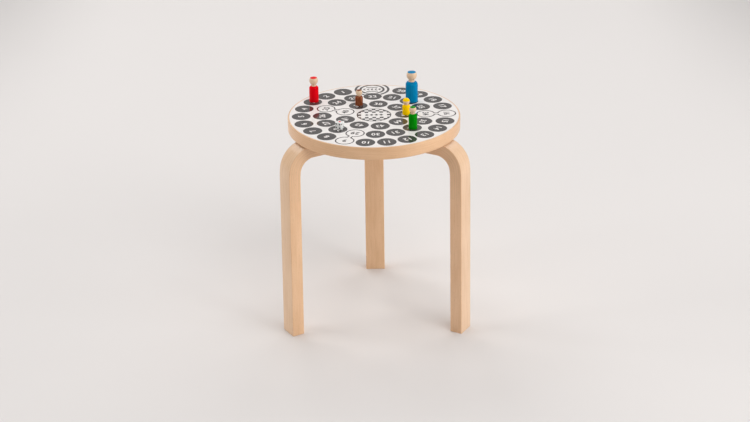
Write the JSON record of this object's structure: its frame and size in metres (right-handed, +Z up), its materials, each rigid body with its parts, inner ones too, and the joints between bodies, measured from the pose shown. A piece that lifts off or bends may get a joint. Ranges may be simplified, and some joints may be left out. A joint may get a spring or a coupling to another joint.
{
  "type": "board game stool",
  "caption": "Three-legged bent-birch stool whose round white seat is a printed spiral race-game board, with turned peg pawns and a die.",
  "frame": {"origin": "on the floor, at the centre of the rectangle that the object covers seen from above; the seat's axis is 19 mm in front of it (-Y)", "axes": "+Z up from the floor, +Y towards the back leg and the start emblem, +X to the right seen from the front"},
  "size_m": [0.3886, 0.3874, 0.5036],
  "materials": {
    "core_wood": "unfinished, hidden inside the seat",
    "band_birch": "clear satin lacquer, grain round the rim",
    "white_laminate": "satin white laminate",
    "backing_birch": "clear matt lacquer",
    "leg_birch": "clear satin lacquer, grain along the leg",
    "veneer_birch": "clear satin lacquer, edge of glued veneers",
    "zinc_steel": "zinc plated",
    "grey_ink": "screen-printed dark grey ink, satin",
    "red_paint": "gloss lacquer on turned wood",
    "blue_paint": "gloss lacquer on turned wood",
    "green_paint": "gloss lacquer on turned wood",
    "yellow_paint": "gloss lacquer on turned wood",
    "brown_paint": "gloss lacquer on turned wood",
    "white_plastic": "polished white plastic with black pips and one red pip",
    "black_paint": "black lacquer in the die's pips",
    "turned_wood": "bare turned wood of the pawns' heads"
  },
  "bodies": {
    "stool": {"seat_core": "core_wood", "edge_band": "band_birch", "top_laminate": "white_laminate", "backing_veneer": "backing_birch", "leg_left": "leg_birch", "leg_right": "leg_birch", "leg_back": "leg_birch", "bend_veneers_left": "veneer_birch", "bend_veneers_right": "veneer_birch", "bend_veneers_back": "veneer_birch", "screws_left": "zinc_steel", "screws_right": "zinc_steel", "screws_back": "zinc_steel", "printed_spaces": "grey_ink", "printed_outlines": "grey_ink", "start_emblem": "grey_ink", "goal_emblem": "grey_ink"},
    "pawn_red": {"pawn_red": "red_paint"},
    "pawn_blue": {"pawn_blue": "blue_paint"},
    "pawn_green": {"pawn_green": "green_paint"},
    "pawn_yellow": {"pawn_yellow": "yellow_paint"},
    "pawn_brown": {"pawn_brown": "brown_paint"},
    "die": {"die": "white_plastic"}
  },
  "joints": [
    {"name": "pawn_red_lift", "type": "slide", "parent": "stool", "child": "pawn_red", "axis": [0, 0, 1], "range_m": [0, 0.12]},
    {"name": "pawn_blue_lift", "type": "slide", "parent": "stool", "child": "pawn_blue", "axis": [0, 0, 1], "range_m": [0, 0.12]},
    {"name": "pawn_green_lift", "type": "slide", "parent": "stool", "child": "pawn_green", "axis": [0, 0, 1], "range_m": [0, 0.12]},
    {"name": "pawn_yellow_lift", "type": "slide", "parent": "stool", "child": "pawn_yellow", "axis": [0, 0, 1], "range_m": [0, 0.12]},
    {"name": "pawn_brown_lift", "type": "slide", "parent": "stool", "child": "pawn_brown", "axis": [0, 0, 1], "range_m": [0, 0.12]},
    {"name": "die_lift", "type": "slide", "parent": "stool", "child": "die", "axis": [0, 0, 1], "range_m": [0, 0.12]}
  ]
}
